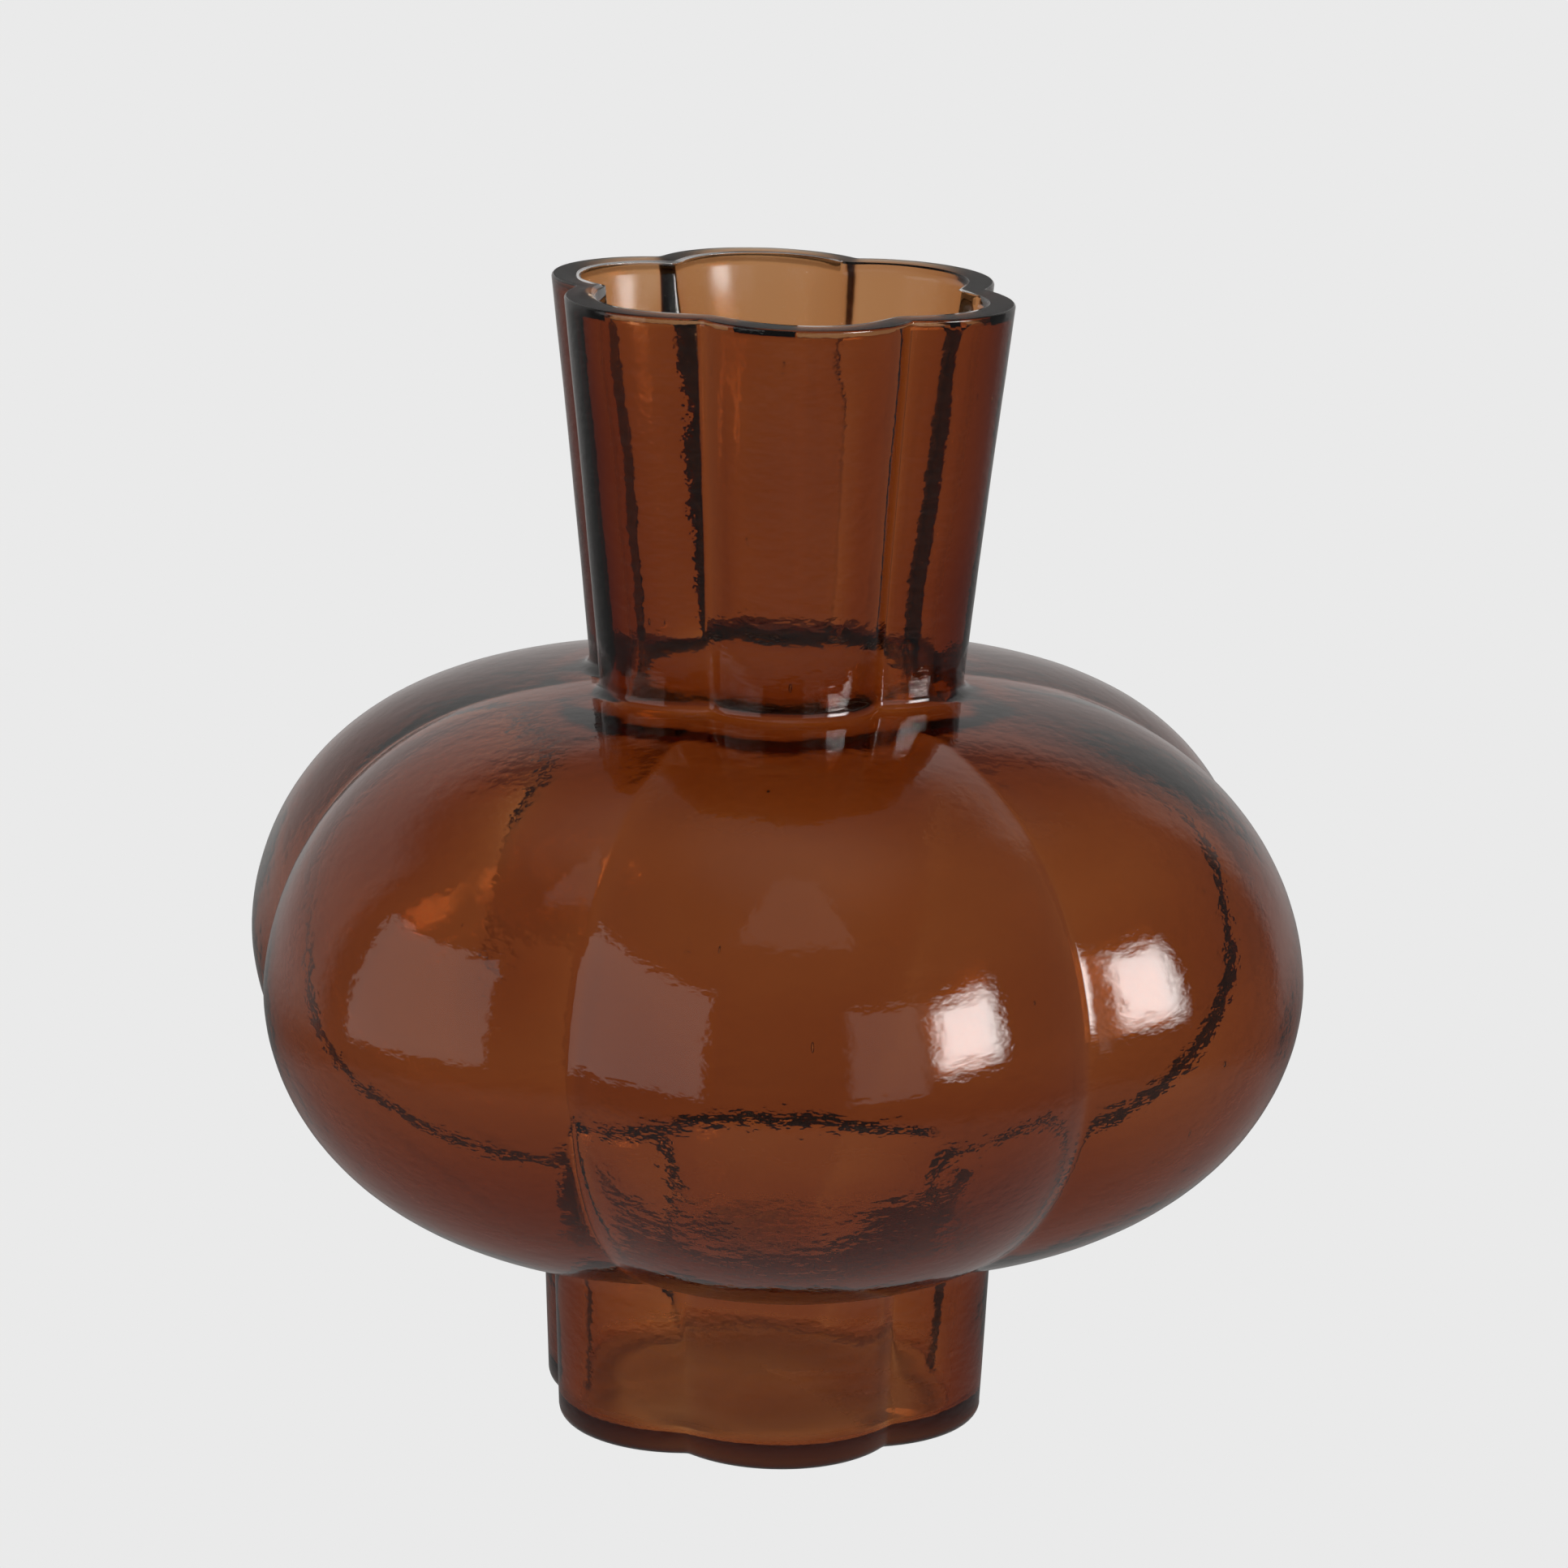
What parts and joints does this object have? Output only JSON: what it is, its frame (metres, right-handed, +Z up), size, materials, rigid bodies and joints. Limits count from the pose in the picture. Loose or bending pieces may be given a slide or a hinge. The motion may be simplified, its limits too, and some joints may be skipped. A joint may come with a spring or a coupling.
{
  "type": "lobed glass vase",
  "caption": "Lobed vase of thick amber-brown glass: a fluted neck flaring to an open mouth, a wide rounded bulb and a hollow fluted foot. Holds flower stems and water.",
  "frame": {"origin": "centre of the plane the foot rests on", "axes": "+Z up along the vase's axis; one lobe faces -Y"},
  "size_m": [0.1522, 0.1614, 0.17],
  "materials": {
    "amber_glass": "polished"
  },
  "bodies": {
    "root": {"rim": "amber_glass", "neck": "amber_glass", "shoulder": "amber_glass", "bowl": "amber_glass", "foot": "amber_glass", "base": "amber_glass"}
  },
  "joints": []
}
